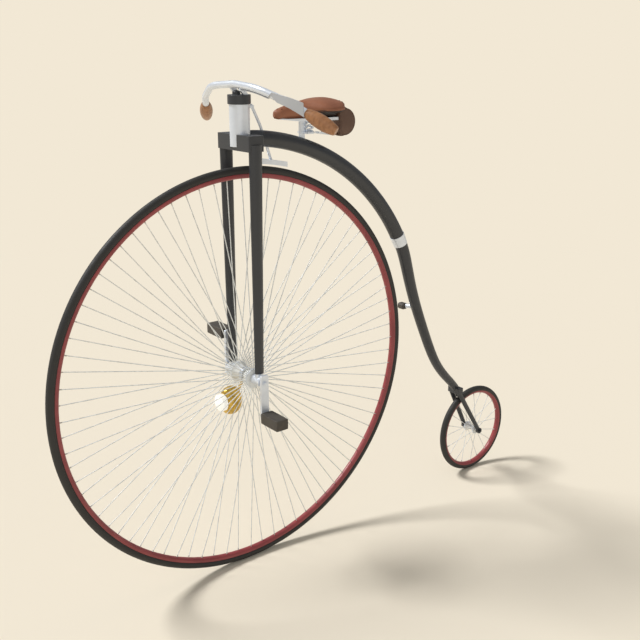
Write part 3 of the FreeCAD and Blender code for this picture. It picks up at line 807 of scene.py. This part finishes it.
for _, name in SIDES:
    pedal_block("pedal_block_" + name, "pedal_" + name, "pedal_" + name)


# ---- soft goods

VOXEL = 0.004
STUFFING_FRAMES = 20


def soft_copy(name, node, shrink):
    """Copy of a soft solid, merged, drawn in a little and remeshed evenly."""
    piece = frame["nodes"][node].copy()
    piece.data = piece.data.copy()
    piece.name = piece.data.name = name
    bpy.context.scene.collection.objects.link(piece)
    piece.hide_render = False
    deselect()
    piece.select_set(True)
    bpy.context.view_layer.objects.active = piece
    bpy.ops.object.mode_set(mode="EDIT")
    close_up()
    bpy.ops.transform.shrink_fatten(value=-shrink)
    bpy.ops.object.mode_set(mode="OBJECT")
    remesh = piece.modifiers.new("even", "REMESH")
    remesh.mode = "VOXEL"
    remesh.voxel_size = VOXEL
    bpy.ops.object.modifier_apply(modifier=remesh.name)
    return piece


def swell(piece, pressure, cap, evening):
    """Blow a soft piece up like stuffed cloth, no point moving further than the cap, and even it out."""
    start = [v.co.copy() for v in piece.data.vertices]
    cloth = piece.modifiers.new("stuffing", "CLOTH")
    cloth.settings.use_pressure = True
    cloth.settings.uniform_pressure_force = pressure
    cloth.settings.effector_weights.gravity = 0
    cloth.settings.quality = 5
    for step in range(1, STUFFING_FRAMES + 1):
        bpy.context.scene.frame_set(step)
    bpy.ops.object.modifier_apply(modifier=cloth.name)
    bpy.context.scene.frame_set(1)
    for vert, place in zip(piece.data.vertices, start):
        moved = vert.co - place
        if moved.length > cap:
            vert.co = place + moved.normalized() * cap
    smooth = piece.modifiers.new("smooth", "SMOOTH")
    smooth.factor = 0.5
    smooth.iterations = evening
    bpy.ops.object.modifier_apply(modifier=smooth.name)
    finer = piece.modifiers.new("finer", "SUBSURF")
    finer.levels = finer.render_levels = 1
    bpy.ops.object.modifier_apply(modifier=finer.name)


def mark_underside(piece):
    """Note where the back of the saddle faces down, to be given painted shade there."""
    under = piece.data.attributes.new("under", "FLOAT", "POINT")
    nose, back = low("saddle_cover").y, high("saddle_cover").y
    for vert, mark in zip(piece.data.vertices, under.data):
        length = (vert.co.y - nose) / (back - nose)
        # the mark for painted shade grows where a point faces down, towards the back of the saddle
        mark.value = progress(-vert.normal.z, 0.3, 0.6) * progress(length, 0.35, 0.6)


def leather_top():
    """Leather saddle top, stuffed a little and rounded over its edges."""
    piece = soft_copy("leather_saddle", "saddle_cover", shrink=0.0008)
    swell(piece, pressure=3.0, cap=0.004, evening=10)
    mark_underside(piece)
    dress(settle(piece, 80), "frame", "brown_leather")
    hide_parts("saddle_cover")
    return piece


def surface_above(tree, x, y):
    """Place and outward direction of a surface seen from above."""
    hit = tree.ray_cast(Vector((x, y, 1)), -Z)
    return hit[0], hit[1]


RIVET_RADIUS, RIVET_HEIGHT = 0.0028, 0.0012
RIVET_ROW = (-0.052, -0.030, -0.010, 0.010, 0.030, 0.052)


def saddle_rivets(cover):
    """Small copper rivets: three at the nose, and a bowed row along the back."""
    tree = BVHTree.FromObject(cover, bpy.context.evaluated_depsgraph_get())
    nose, back = low("saddle_cover").y, high("saddle_cover").y
    head = cylinder("rivet", (0, 0, 0), Z, RIVET_RADIUS, RIVET_HEIGHT, 20)
    choose(lambda f: f.normal.z > 0.9)
    bpy.ops.mesh.inset(thickness=0.0011, depth=0.0006)
    close_up()
    settle(head, 50)
    spots = [(0, nose + 0.014), (-0.010, nose + 0.024), (0.010, nose + 0.024)]
    edge, bow = back - 0.016, 4.2
    spots += [(x, edge - x * x * bow) for x in RIVET_ROW]
    places = []
    for x, y in spots:
        spot, slope = surface_above(tree, x, y)
        places.append(Matrix.Translation(spot) @ slope.to_track_quat("Z", "X").to_matrix().to_4x4())
    dress(copies(head, "saddle_rivets", places), "frame", "brown_leather", OLD_COPPER)


OUTLINE_STEPS = 72
FRONT_LEAN = 0.35  # how much the outward direction leans up or down on the bag's flat front
BUCKLE_STEP = 42  # the step of the outline at which the buckles sit, behind and below
PIPING_RADIUS, PIPING_SUNK = 0.0019, 0.0036
STRAP_OUT, BUCKLE_OUT = 0.0004, 0.002
# Section of a strap: (across it, out from where it lies).
STRAP = ((-0.0075, 0.0002), (-0.006, 0.0014), (0.006, 0.0014), (0.0075, 0.0002), (0.0075, -0.0016),
         (-0.0075, -0.0016))
STRAP_PLACES = (-0.5, 0.5)  # to half the width of the bag
BUCKLE, BUCKLE_RIM, BUCKLE_ROUNDING = (0.014, 0.018, 0.002), 0.0026, 0.0004


def bag_outline(out):
    """Side outline of the bag, a round with a flat front, a given distance outside its leather."""
    lowest, highest = low("tool_bag"), high("tool_bag")
    radius = (highest.z - lowest.z) / 2
    at = Vector((0, highest.y - radius, lowest.z + radius))
    path = []
    for number in range(OUTLINE_STEPS):
        turn = math.tau * number / OUTLINE_STEPS
        way = Vector((0, -math.cos(turn), math.sin(turn)))
        place = at + way * radius
        if place.y < lowest.y:
            place.y = lowest.y
            rise = place.z - at.z
            way = Vector((0, -1, math.copysign(FRONT_LEAN, rise) if rise else 0)).normalized()
        path.append((place + way * out, way))
    return path


def shifted(path, x):
    """An outline moved across the bicycle."""
    return [(place + X * x, way) for place, way in path]


def rolled_bag():
    """Round leather bag: a soft body with piped ends, and two straps that hold it shut."""
    body = soft_copy("rolled_bag", "tool_bag", shrink=0.0016)
    swell(body, pressure=4.0, cap=0.0026, evening=4)
    dress(settle(body, 80), "frame", "dark_leather")
    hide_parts("tool_bag")
    half = size("tool_bag").x / 2
    edge = [(PIPING_RADIUS * math.cos(math.tau * k / 8), PIPING_RADIUS * math.sin(math.tau * k / 8))
            for k in range(8)]
    for side, name in SIDES:
        path = shifted(bag_outline(-PIPING_SUNK), side * (half - PIPING_SUNK))
        dress(settle(hoop("bag_piping_" + name, path, edge), 60), "frame", "dark_leather")
    for number, share in enumerate(STRAP_PLACES):
        strap = hoop("bag_strap_%d" % number, shifted(bag_outline(STRAP_OUT), half * share), STRAP)
        dress(settle(strap, 40), "frame", "dark_leather")


def bag_buckles():
    """A plain square buckle on each strap."""
    half = size("tool_bag").x / 2
    place, way = bag_outline(BUCKLE_OUT)[BUCKLE_STEP]
    places = [facing(place + X * half * share, way, X) for share in STRAP_PLACES]
    buckle = block("buckle", BUCKLE)
    bpy.ops.object.mode_set(mode="OBJECT")
    bpy.ops.object.transform_apply(location=True, rotation=True, scale=True)
    bpy.ops.object.mode_set(mode="EDIT")
    choose(lambda f: abs(f.normal.z) > 0.9)
    bpy.ops.mesh.inset(thickness=BUCKLE_RIM, depth=0)
    bpy.ops.mesh.bridge_edge_loops()
    bevel(BUCKLE_ROUNDING, 1)
    close_up()
    settle(buckle, 30)
    dress(copies(buckle, "bag_buckles", places), "frame", "lamp_brass", OLD_COPPER)


saddle_rivets(leather_top())
rolled_bag()
bag_buckles()


# ---- lamp

# Outline of the lamp's case: (share of its length from the front, share of its half width).
CASE_OUTLINE = ((0.0, 0.0), (0.0, 0.30), (0.0, 0.60), (0.015, 0.67), (0.10, 0.84), (0.22, 0.945),
                (0.36, 0.99), (0.50, 1.0), (0.63, 0.975), (0.75, 0.90), (0.85, 0.78), (0.92, 0.62),
                (0.97, 0.42), (1.0, 0.2), (1.0, 0.0))
# Section of the edge round the lens: (distance back from the front of the case, distance outside the lens).
EDGE_SECTION = ((0.002, 0.0002), (0.0025, 0.0012), (0.004, 0.0015), (0.0055, 0.0012), (0.006, 0.0002))


def lamp_case():
    """Egg-shaped brass case with a flattened mouth."""
    front, back = low("lamp_body").y, high("lamp_body").y
    at, half = middle("lamp_body"), size("lamp_body") / 2

    def place(station, turn):
        run, reach = station
        return Vector((at.x + half.x * reach * math.cos(turn), front + (back - front) * run,
                       at.z + half.z * reach * math.sin(turn)))

    case = drawn("lamp_case", 48, CASE_OUTLINE, place)
    dress(settle(case, 55), "lamp", "lamp_brass")
    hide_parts("lamp_body")


def lamp_edge():
    """Narrow rolled edge round the lens."""
    at, front = middle("lamp_body"), low("lamp_body").y
    lens = size("lamp_lens").x / 2
    section = [(run, lens + out) for run, out in EDGE_SECTION]
    edge = turned("lamp_edge", section, Vector((at.x, front, at.z)), Y, 64)
    dress(settle(edge, 40), "lamp", "lamp_brass")


lamp_case()
lamp_edge()
